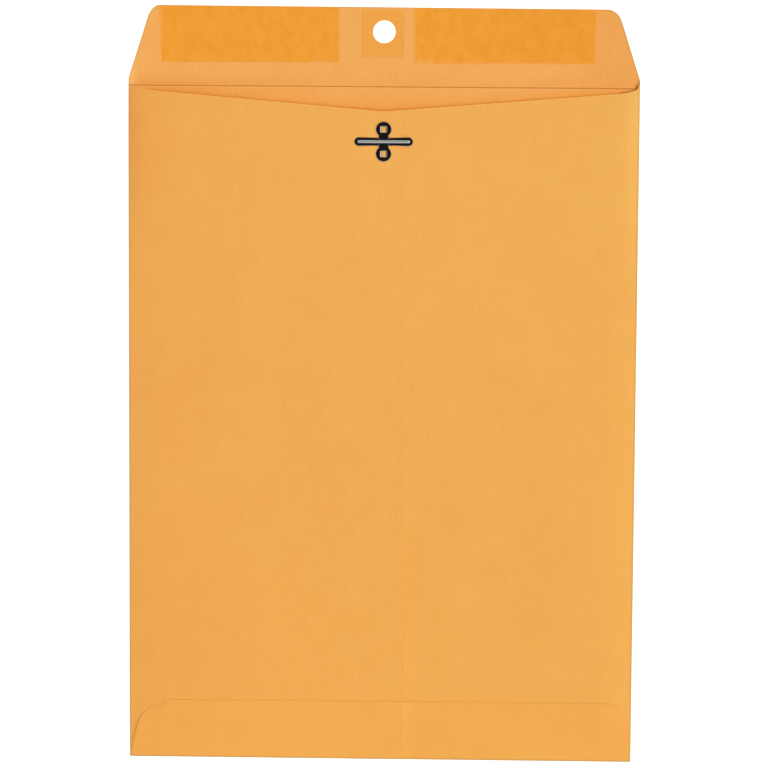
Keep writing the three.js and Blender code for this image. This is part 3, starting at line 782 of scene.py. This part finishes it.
address_sheet = shell(
    "address_sheet",
    [split(sheet_loop, steps_sheet), circle(HOLE_X, HOLE_Y, HOLE_R, 96)],
    lambda u, v: (u, v, sheet_low(u, v) + PAPER / 2),
    score_half,
    sheet_seeds,
    rim_at=lambda u, v: 0.004 if abs(abs(u) - X0) < 0.01 or abs(v - Y0) < 0.01 else 0.03,
    # from_edge and the corner attribute carry distances for the painted shade along the flap's cut edges and the
    # painted shadow at the mouth's right corner
    third=from_edge,
    extra=("corner", from_corner),
    margin=0.2,
    warp=(lambda t: t, stretch([Y_SCORE - 5, Y_SCORE - 0.9, Y_SCORE + 0.9, Y_SCORE + 5], [2, 9, 2])),
    materials=(paper_flap, paper_back, paper_cut_shade),
)
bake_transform(address_sheet)
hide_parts("address_panel", "seal_flap")


# ---------------------------------------------------------------- side panels, each one piece with its fold
def wrap_steps(u, v):
    if u < -RING + 0.001:
        return 1.5
    if u < 0.02:
        return 0.075
    if u < 3:
        return 0.4
    if u < 20:
        return 1.5
    return 3.0


RING_US = list(-RING * np.linspace(0, 1, 13)[1:-1])
FOLD_US = RING_US + [0.0, 0.25, 0.55, 0.9, 1.35, 1.9, 2.5]
NEAR_US = [3.2, 4.2, 5.5, 7, 8.8, 10.8, 13, 15.5, 18.2]
LOW_VS = [Y0 + d for d in (0.3, 0.7, 1.2, 1.8, 2.6, 3.6, 4.8, 6.2, 7.8, 9.6, 11.6, 13.8, 16.5)]
MID_VS = list(np.arange(Y0 + 20, Y_SCORE - 16, 4.5))
TOP_VS = list(np.arange(Y_SCORE - 15, Y_SCORE - 4, 1.5)) + list(np.arange(Y_SCORE - 3.6, Y_SCORE + 2.7, 0.4))
FOLD_VS = LOW_VS + list(np.arange(Y0 + 18.2, Y_SCORE - 16, 1.6)) + TOP_VS
FOLD_WARP = (stretch([-RING, 0, 3], [10, 3]), lambda t: t)


def left_place(u, v):
    x = -X0 + np.maximum(u, 0)
    flat = left_low(x, v) + PAPER / 2
    theta = math.pi * clip01(-u / RING)
    h = fold_height(v)
    ring_z = h / 2 + (h - PAPER) / 2 * np.cos(theta)
    ring_x = -X0 - (SIDE_A - PAPER / 2) * np.sin(theta)
    return np.where(u < 0, ring_x, x), v + 0 * u, np.where(u < 0, ring_z, flat)


def right_place(u, v):
    x = X0 - np.maximum(u, 0)
    flat = right_low(x, v) + PAPER / 2
    theta = math.pi * clip01(-u / RING)
    h = fold_height(v, RIGHT_SPRING)
    ring_z = h / 2 + (h - PAPER) / 2 * np.cos(theta)
    ring_x = X0 + (SIDE_A - PAPER / 2) * np.sin(theta)
    beyond = np.minimum(u + RING, 0)  # the little tab beyond the fold, on the address side
    return np.where(u < -RING, X0 + beyond, np.where(u < 0, ring_x, x)), v + 0 * u, np.where(u < 0, ring_z, flat)


ears = [(CLASP_X, CLASP_Y + s * 5.44 - 0.05) for s in (1, -1)]


def slit(cx, cy, side):
    """Slit that a burr of the clasp has cut through the paper, left or right of a strip that stays."""
    x0, x1 = (0.9, 2.1) if side > 0 else (-2.1, -0.9)
    return [[cx + x0, cy - 1.9], [cx + x1, cy - 1.9], [cx + x1, cy + 1.9], [cx + x0, cy + 1.9]]


# left panel, with u counted from the fold
left_top = [p for p in THROAT_RIGHT if p[0] < SEAM_TOP]
throat_r_at = lambda x: float(np.interp(x, [p[0] for p in THROAT_RIGHT], [p[1] for p in THROAT_RIGHT]))
left_xy = (
    [[-X0, Y0 + 0.02], [SEAM_BOTTOM, Y0 + 0.02], [SEAM_TOP, Y_SCORE + throat_r_at(SEAM_TOP)]]
    + [[x, Y_SCORE + y] for x, y in left_top[::-1]]
    + [[x, Y_SCORE + y] for x, y in THROAT_LEFT[:-1][::-1]]
)
left_loop = [[x + X0, y] for x, y in left_xy] + [[-RING, Y_SCORE - 1.0], [-RING, Y0 + 0.02]]
edge_seeds = np.array([p for p in beside(THROAT_XY, (0.45, 0.85, 1.25, 1.7, 2.3, 3.2), 1.6) if abs(p[0]) < 110.5])
clasp_ring = np.array([[CLASP_X + r * math.cos(a), CLASP_Y + r * math.sin(a)] for r in (4, 8, 12, 17) for a in np.linspace(0, 2 * math.pi, 20)[:-1]])
left_seeds = np.vstack([
    grid(FOLD_US, FOLD_VS),
    grid(NEAR_US + list(np.arange(21.5, 93, 4.2)), LOW_VS + MID_VS + TOP_VS[:8]),
    grid(np.arange(96, 123.5, 1.6), LOW_VS + MID_VS),
    edge_seeds + [X0, 0],
    clasp_ring + [X0, 0],
])
left_wrap = shell(
    "left_panel_sheet",
    [split(left_loop, wrap_steps)] + [[[x + X0, y] for x, y in slit(cx, cy, s)] for cx, cy in ears for s in (-1, 1)],
    left_place,
    half_paper,
    left_seeds,
    rim_at=lambda u, v: 0.004 if u < -RING + 0.01 else 0.03,
    margin=0.25,
    warp=FOLD_WARP,
    flat=lambda u, v: (-X0 - RING - u, v),
    materials=(paper_outer, paper_inner, paper_lip),
)
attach(left_wrap, "envelope_body")
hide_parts("left_side_panel", "left_side_fold")

# right panel, with u counted leftwards from the fold; a small tab stays with it past the score
right_top = rounded([p for p in THROAT_RIGHT if p[0] > 80], 5)
right_uv = (
    [[X0 - RIGHT_INNER, Y0 + 0.02]]
    + [[X0 - RIGHT_INNER, Y_SCORE - 10.45], [X0 + 2.2, Y_SCORE - 10.92]]
    + [[X0 - x, Y_SCORE + y] for x, y in THROAT_RIGHT if x < 80]
    + [[X0 - x, Y_SCORE + y] for x, y in right_top]
    + [[-0.04, TIP - 0.35], [-0.14, TIP - 0.12], [-0.3, TIP], [-RING, TIP], [-RING - 0.06, TIP + 0.6], [-RING - 2.0, TIP + 0.6], [-RING - 2.0, Y_SCORE - 1.22], [-RING, Y_SCORE - 1.25], [-RING, Y0 + 0.02]]
)
right_seeds = np.vstack([
    grid([-RING - 1.5, -RING - 1.0, -RING - 0.5, -RING] + FOLD_US, FOLD_VS),
    grid(NEAR_US + list(np.arange(21.5, 122, 4.2)), LOW_VS + MID_VS + TOP_VS[:8]),
    edge_seeds * [-1, 1] + [X0, 0],
    clasp_ring * [-1, 1] + [X0, 0],
])
right_wrap = shell(
    "right_panel_sheet",
    [split(right_uv, wrap_steps)] + [[[X0 - cx - 2.1, cy - 2.1], [X0 - cx + 2.1, cy - 2.1], [X0 - cx + 2.1, cy + 2.1], [X0 - cx - 2.1, cy + 2.1]] for cx, cy in ears],
    right_place,
    half_paper,
    right_seeds,
    rim_at=lambda u, v: 0.004 if abs(u + RING) < 0.01 and v < Y_SCORE - 1.35 else 0.03,
    margin=0.25,
    warp=FOLD_WARP,
    flip=True,
    flat=lambda u, v: (X0 + RING + u, v),
    materials=(paper_outer, paper_nook_shadow, paper_lip),
)
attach(right_wrap, "envelope_body")
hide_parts("right_side_panel", "right_side_fold")


# ---------------------------------------------------------------- bottom flap with its fold
def base_place(u, v):
    y = Y0 + np.maximum(v, 0)
    flat = flap_low(u, y) + PAPER / 2
    theta = math.pi * clip01(-v / BASE_RING)
    h = flap_low(u, Y0 + 0 * v) + PAPER
    ring_z = h / 2 + (h - PAPER) / 2 * np.cos(theta)
    ring_y = Y0 - (BASE_A - PAPER / 2) * np.sin(theta)
    return u + 0 * v, np.where(v < 0, ring_y, y), np.where(v < 0, ring_z, flat)


def base_steps(u, v):
    if v < -BASE_RING + 0.001:
        return 1.5
    if v < 0.1:
        return 0.09
    return 1.2


flap_uv = (
    [[-113.9, -BASE_RING], [113.9, -BASE_RING], [114.15, -0.5 * BASE_RING], [114.1, 0.1]]
    + [[x, y - Y0] for x, y in BFLAP_EDGE]
    + [[-114.0, 0.1], [-114.15, -0.5 * BASE_RING]]
)
base_us = sorted(set(
    [round(float(q), 3) for q in list(np.arange(-112.5, -94, 1.5)) + list(np.arange(-94, -18, 4)) + list(np.arange(-18, 8.5, 1.5)) + list(np.arange(8.6, 14.6, 0.35)) + list(np.arange(15, 94, 4)) + list(np.arange(94, 113.5, 1.5))]
))
base_seeds = np.vstack([
    grid(base_us, list(-BASE_RING * np.linspace(0, 1, 12)[1:-1]) + [0, 0.3, 0.7, 1.2, 1.8, 2.6, 3.6, 4.8, 6.2, 7.8, 9.6, 11.6, 13.8, 16, 18.5, 21, 22.8]),
    np.array(beside(BFLAP_EDGE, (0.45, 0.85, 1.25, 1.7, 2.3, 3.2), 1.5)) - [0, Y0],
])
base_wrap = shell(
    "bottom_flap_sheet",
    [split(flap_uv, base_steps)],
    base_place,
    half_paper,
    base_seeds,
    rim_at=lambda u, v: 0.004 if v < -BASE_RING + 0.01 else 0.045 if u < 90 else 0.02,
    margin=0.25,
    warp=(stretch([8, 15], [3]), stretch([-BASE_RING, 0, 3], [10, 2])),
    flat=lambda u, v: (u, Y0 - BASE_RING - v),
    materials=(paper_base, paper_inner, paper_lip),
)
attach(base_wrap, "envelope_body")
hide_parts("bottom_flap", "bottom_fold")

# ---------------------------------------------------------------- glue layers, out of sight between the sheets
seam_film = shell(
    "seam_glue_film",
    [split([[-6, Y0 + 2], [7, Y0 + 2], [7, Y_SCORE - 12], [-6, Y_SCORE - 12]], lambda u, v: 2.0)]
    + [[[cx - 2.6, cy - 2.6], [cx + 2.6, cy - 2.6], [cx + 2.6, cy + 2.6], [cx - 2.6, cy + 2.6]] for cx, cy in ears],
    lambda u, v: (u, v, (left_low(u, v) + right_low(u, v) + PAPER) / 2),
    lambda u, v: ((left_low(u, v) - right_low(u, v) - PAPER) / 2 - 0.012,) * 2,
    grid(np.arange(-4.5, 6.5, 2), LOW_VS + MID_VS + TOP_VS),
    rim=0.006,
    margin=0.3,
    materials=(glue_look,),
)
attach(seam_film, "envelope_body")
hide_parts("seam_glue")

flap_film = shell(
    "bottom_flap_glue_film",
    [split([[-104, Y0 + 3], [104, Y0 + 3], [104, Y_BOTTOM + 20], [-104, Y_BOTTOM + 20]], lambda u, v: 0.7 if 8 < u < 15 else 2.0)],
    lambda u, v: (u, v, (stack_top(u, v) + flap_low(u, v)) / 2),
    lambda u, v: (0 * u + 0.010,) * 2,
    grid(base_us, [Y0 + d for d in (3.6, 4.8, 6.2, 7.8, 9.6, 11.6, 13.8, 16, 18.5)]),
    rim=0.004,
    margin=0.2,
    materials=(glue_look,),
)
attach(flap_film, "envelope_body")
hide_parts("bottom_flap_glue")


# ---------------------------------------------------------------- gum strips and hole patch on the flap
def flap_tip(x):
    return FLAP_H_LEFT + (FLAP_H_RIGHT - FLAP_H_LEFT) * (x + 101) / 201


def ragged(x0, x1, low_a, low_b, seed, lean0=0.0, lean1=0.0):
    """Outline of a rolled-on gum strip: its lower edge wanders a little, and its ends lean by lean0 and lean1."""
    rng = np.random.RandomState(seed)
    top0, top1 = x0, x1
    x0, x1 = x0 + lean0, x1 + lean1
    n = int((x1 - x0) / 0.5)
    bits = rng.normal(0, 1, n + 1)
    for _ in range(2):
        bits = np.convolve(np.pad(bits, 2, mode="edge"), np.ones(5) / 5, "valid")
    bits = 0.10 * bits / bits.std()
    lower = [[x0 + (x1 - x0) * i / n, Y_SCORE + low_a + (low_b - low_a) * i / n + bits[i]] for i in range(n + 1)]
    side = rng.normal(0, 0.03, 40)
    right = [[x1 + (top1 - x1) * i / 20 + side[i], Y_SCORE + low_b + (flap_tip(top1) - 0.2 - low_b) * i / 20] for i in range(1, 20)]
    left = [[x0 + (top0 - x0) * i / 20 + side[20 + i], Y_SCORE + low_a + (flap_tip(top0) - 0.2 - low_a) * i / 20] for i in range(19, 0, -1)]
    upper = [[top1 + (top0 - top1) * i / 30, Y_SCORE + flap_tip(top1 + (top0 - top1) * i / 30) - 0.18] for i in range(31)]
    return lower + right + upper + left


film_half = lambda t: (lambda u, v: (0 * u + t / 2, 0 * u + t / 2))
for name, node, loop in (
    ("gum_film_left", "gum_strip_left", ragged(-100.9, -19.7, 10.5, 10.6, 5, lean0=1.5)),
    ("gum_film_right", "gum_strip_right", ragged(13.3, 95.5, 10.1, 10.4, 8, lean1=-1.7)),
):
    film = shell(
        name,
        [loop],
        lambda u, v: (u, v, sheet_low(u, v) + PAPER + 0.006 + 0.015),
        film_half(0.03),
        grid(np.arange(-98, 94, 3.5), np.arange(Y_SCORE + 12, Y_SCORE + 35, 3.5)),
        rim=0.012,
        margin=0.25,
        materials=(gum_look,),
    )
    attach(film, "flap")
    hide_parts(node)

patch_loop = split([[-9.6, Y_SCORE + 13.15], [9.1, Y_SCORE + 13.15], [9.1, Y_SCORE + 33.65], [-9.6, Y_SCORE + 33.65]], lambda u, v: 1.5)
patch = shell(
    "hole_patch_sheet",
    [patch_loop, circle(HOLE_X, HOLE_Y, 5.12, 96)],
    lambda u, v: (u, v, sheet_low(u, v) + PAPER + 0.006 + 0.045),
    film_half(0.09),
    grid(np.arange(-8.6, 9, 1.6), np.arange(Y_SCORE + 14, Y_SCORE + 33.5, 1.6)),
    rim=0.03,
    margin=0.3,
    flat=lambda u, v: (v + 311.0, u - 97.0),
    materials=(patch_look,),
)
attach(patch, "flap")
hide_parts("hole_patch")

# ---------------------------------------------------------------- clasp
BEAD_H, BEAD_W, BEAD_END, BEAD_DY = 0.35, 0.64, 11.15, 0.07
EAR_Y, EAR_R = 5.44, 3.43
HOLE_DY, HOLE_AX, HOLE_AY = -0.05, 1.49, 1.40


def bead(x, y):
    """Ridge pressed along both prongs, hollow below, with round ends."""
    d = np.hypot(np.maximum(np.abs(x) - BEAD_END, 0), y - BEAD_DY)
    return 0.5 * BEAD_H * (1 + np.cos(np.pi * clip01(d / BEAD_W)))


def dome(x, y):
    """The ears swell very slightly round their holes."""
    rho = np.hypot(x, np.abs(y) - EAR_Y)
    return 0.02 * np.exp(-(((rho - 2.45) / 0.33) ** 2)) * smooth((np.abs(y) - 4.2) / 1.6)


Z_MID = Z_METAL + METAL / 2
half_metal = lambda u, v: (0 * u + METAL / 2, 0 * u + METAL / 2)


def metal_place(u, v):
    return u + CLASP_X, v + CLASP_Y, Z_MID + bead(u, v) + dome(u, v)


def arc(cx, cy, r, a0, a1, n):
    return [[cx + r * math.cos(math.radians(a0 + (a1 - a0) * i / n)), cy + r * math.sin(math.radians(a0 + (a1 - a0) * i / n))] for i in range(n + 1)]


# quarter outline of the base, from the hub up to the top of an ear
EAR_FILLET = 0.30
NECK = 2.21
fx = NECK + EAR_FILLET
fy = EAR_Y - math.sqrt((EAR_R + EAR_FILLET) ** 2 - fx ** 2)
toward = math.degrees(math.atan2(EAR_Y - fy, -fx))
quarter = (
    [[1.75, 1.46], [2.36, 1.46]]
    + arc(NECK + 0.45, 2.23, 0.45, 228.2, 180, 5)
    + arc(fx, fy, EAR_FILLET, 180, toward, 5)
    + arc(0, EAR_Y, EAR_R, toward - 180, 90, 30)[1:]
)
right_half = [[x, -y] for x, y in quarter[::-1]] + quarter
base_loop = right_half + [[-x, y] for x, y in right_half[::-1][1:-1]]


def rounded_square(cx, cy, ax, ay, r, n=5):
    pts = []
    for qx, qy, a in ((1, -1, -90), (1, 1, 0), (-1, 1, 90), (-1, -1, 180)):
        pts += arc(cx + qx * (ax - r), cy + qy * (ay - r), r, a, a + 90, n)
    return pts


fine = np.arange(-1.15, 1.151, 0.075)
base_plate = shell(
    "clasp_ears",
    [split(base_loop, lambda u, v: 0.12 if abs(v) < 1.5 else 0.5)] + [split(rounded_square(0, s * EAR_Y + HOLE_DY, HOLE_AX, HOLE_AY, 0.2), lambda u, v: 0.35) for s in (1, -1)],
    metal_place,
    half_metal,
    np.vstack([grid(np.arange(-1.6, 1.7, 0.3), fine), grid(np.arange(-3.3, 3.4, 0.26), list(np.arange(1.6, 8.8, 0.26)) + list(-np.arange(1.6, 8.8, 0.26)))]),
    rim_at=lambda u, v: 0.006 if abs(u) < 1.8 and abs(v) < 1.5 else 0.04,
    rings=3,
    margin=0.07,
    materials=(steel_look,),
)


def burr(cx, cy, side, name):
    """Half of a pierced burr: metal pushed down through its slit and clinched under the paper."""
    path = rounded([[2.0, 1.60], [1.66, 1.585], [1.40, 1.50], [1.16, 1.34], [1.00, 1.17], [0.90, 1.04], [1.02, 0.945], [1.35, 0.96], [2.0, 0.99], [2.75, 1.0]], 6)
    px = np.array([p[0] for p in path])
    pz = np.array([p[1] for p in path])
    s = np.concatenate([[0], np.cumsum(np.hypot(np.diff(px), np.diff(pz)))])
    wide = lambda q: np.interp(q, [0, 0.5, 1.6, 2.2, s[-1] - 0.4, s[-1]], [1.32, 1.34, 1.30, 1.25, 1.10, 0.55])
    lower = [[q, -float(wide(q))] for q in np.linspace(0, s[-1], 30)]
    upper = [[q, float(wide(q))] for q in np.linspace(s[-1], 0, 30)]
    place = lambda u, v: (CLASP_X + cx + side * np.interp(u, s, px), CLASP_Y + cy + v, np.interp(u, s, pz))
    t = 0.09
    return shell(
        name,
        [split(lower + upper, lambda u, v: 0.4)],
        place,
        lambda u, v: (0 * u + t, 0 * u + t),
        grid(np.linspace(0, s[-1], 40), np.arange(-1.5, 1.6, 0.3)),
        rim=0.04,
        rings=2,
        margin=0.05,
        flip=side > 0,
        materials=(steel_look,),
    )


burrs = [burr(0, s * EAR_Y + HOLE_DY, side, f"burr_{k}") for k, (s, side) in enumerate(((1, 1), (1, -1), (-1, 1), (-1, -1)))]
bpy.ops.object.select_all(action="DESELECT")
for o in burrs + [base_plate]:
    o.select_set(True)
bpy.context.view_layer.objects.active = base_plate
bpy.ops.object.join()
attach(base_plate, "envelope_body")
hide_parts("clasp_base")

TIP_R = 1.95
REACH = 13.05
for side, name, node, body_name in ((-1, "prong_tongue_left", "prong_left", "left_prong"), (1, "prong_tongue_right", "prong_right", "right_prong")):
    top = (
        [[1.75, 1.44], [2.38, 1.44], [2.385, 1.865], [2.46, 1.825], [2.56, 1.795], [2.75, 1.775], [3.3, 1.775], [4.6, 1.80], [6.5, 1.84], [8.2, 1.885]]
        + [[REACH - TIP_R - 0.8, TIP_R - 0.01]]
        + arc(REACH - TIP_R, 0, TIP_R, 90, 0, 14)
    )
    loop = top + [[x, -y] for x, y in top[::-1][1:]]
    loop = [[side * x, y] for x, y in loop]
    prong = shell(
        name,
        [split(loop, lambda u, v: 0.12 if abs(u) < 3.6 else 0.4)],
        metal_place,
        half_metal,
        np.vstack([
            grid([side * q for q in list(np.arange(1.85, 3.4, 0.09)) + list(np.arange(3.5, 10.6, 0.4)) + list(np.arange(10.7, 12.9, 0.1))], fine),
            grid([side * q for q in list(np.arange(1.85, 3.4, 0.15)) + list(np.arange(3.5, 12.7, 0.4))], [-1.68, -1.48, -1.32, 1.32, 1.48, 1.68]),
        ]),
        rim_at=lambda u, v: 0.006 if abs(u) < 1.76 else 0.04,
        rings=3,
        margin=0.05,
        materials=(steel_look,),
    )
    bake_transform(prong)
    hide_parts(node)

# ---------------------------------------------------------------- floor
me = bpy.data.meshes.new("floor")
S = 6.0
me.from_pydata([(-S, -S, -0.0001), (S, -S, -0.0001), (S, S, -0.0001), (-S, S, -0.0001)], [], [(0, 1, 2, 3)])
floor = bpy.data.objects.new("floor", me)
scene.collection.objects.link(floor)
fm = bpy.data.materials.new("floor")
fm.use_nodes = True
b = fm.node_tree.nodes["Principled BSDF"]
b.inputs["Base Color"].default_value = (0.9, 0.9, 0.9, 1)
b.inputs["Roughness"].default_value = 1.0
b.inputs["Specular IOR Level"].default_value = 0.0
b.inputs["Emission Color"].default_value = (1, 1, 1, 1)
b.inputs["Emission Strength"].default_value = 0.45
me.materials.append(fm)

# ---------------------------------------------------------------- light: a pale studio, bright round the sides, dark overhead
world = bpy.data.worlds.new("studio")
scene.world = world
world.use_nodes = True
wt = world.node_tree
wt.nodes.clear()
w_out = wt.nodes.new("ShaderNodeOutputWorld")
w_bg = wt.nodes.new("ShaderNodeBackground")
w_tc = wt.nodes.new("ShaderNodeTexCoord")
w_sep = wt.nodes.new("ShaderNodeSeparateXYZ")
wt.links.new(w_tc.outputs["Generated"], w_sep.inputs[0])


def wmath(op, a, b, c=None):
    n = wt.nodes.new("ShaderNodeMath")
    n.operation = op
    for i, v in enumerate((a, b) if c is None else (a, b, c)):
        if isinstance(v, bpy.types.NodeSocket):
            wt.links.new(v, n.inputs[i])
        else:
            n.inputs[i].default_value = v
    return n.outputs[0]


def wband(value, lo, hi, a, b):
    n = wt.nodes.new("ShaderNodeMapRange")
    n.interpolation_type = "SMOOTHSTEP"
    wt.links.new(value, n.inputs["Value"])
    for key, v in zip(("From Min", "From Max", "To Min", "To Max"), (lo, hi, a, b)):
        n.inputs[key].default_value = v
    return n.outputs["Result"]


RING_L, RING_X, RING_Y, OVERHEAD = 1.15, 0.70, 0.0, 0.014
CAP = Vector((-0.03, math.sin(math.radians(13)), math.cos(math.radians(13)))).normalized()
ring = wmath("MULTIPLY_ADD", w_sep.outputs[0], RING_X, wmath("MULTIPLY_ADD", w_sep.outputs[1], RING_Y, RING_L))
ring = wmath("MULTIPLY", ring, wband(w_sep.outputs[2], 0.10, 0.35, 0.35, 1.0))
aim = wmath("MULTIPLY_ADD", w_sep.outputs[0], CAP.x, wmath("MULTIPLY_ADD", w_sep.outputs[1], CAP.y, wmath("MULTIPLY", w_sep.outputs[2], CAP.z)))
cap = wband(aim, math.cos(math.radians(24)), math.cos(math.radians(17)), 1.0, 0.0)
level = wmath("MULTIPLY_ADD", wmath("SUBTRACT", ring, OVERHEAD), cap, OVERHEAD)
wt.links.new(level, w_bg.inputs["Strength"])
w_bg.inputs["Color"].default_value = (1, 1, 1, 1)
wt.links.new(w_bg.outputs[0], w_out.inputs["Surface"])

# ---------------------------------------------------------------- camera, straight above, as the photograph has it
cam = bpy.data.cameras.new("camera")
cam.lens, cam.sensor_width, cam.sensor_fit = 100, 36, "HORIZONTAL"
cam.clip_start, cam.clip_end = 0.01, 50
cam_ob = bpy.data.objects.new("camera", cam)
scene.collection.objects.link(cam_ob)
right = Vector((0.9996943, 0.0062267, -0.0239222))
up = Vector((-0.0079250, 0.9974043, -0.0715673))
back = Vector((0.0234145, 0.0717350, 0.9971489))
m = Matrix((right, up, back)).transposed().to_4x4()
m.translation = Vector((23.526, 70.409, 959.767)) * MM
cam_ob.matrix_world = m
scene.camera = cam_ob
scene.view_settings.view_transform = "Standard"
scene.view_settings.look = "None"

bpy.context.view_layer.update()
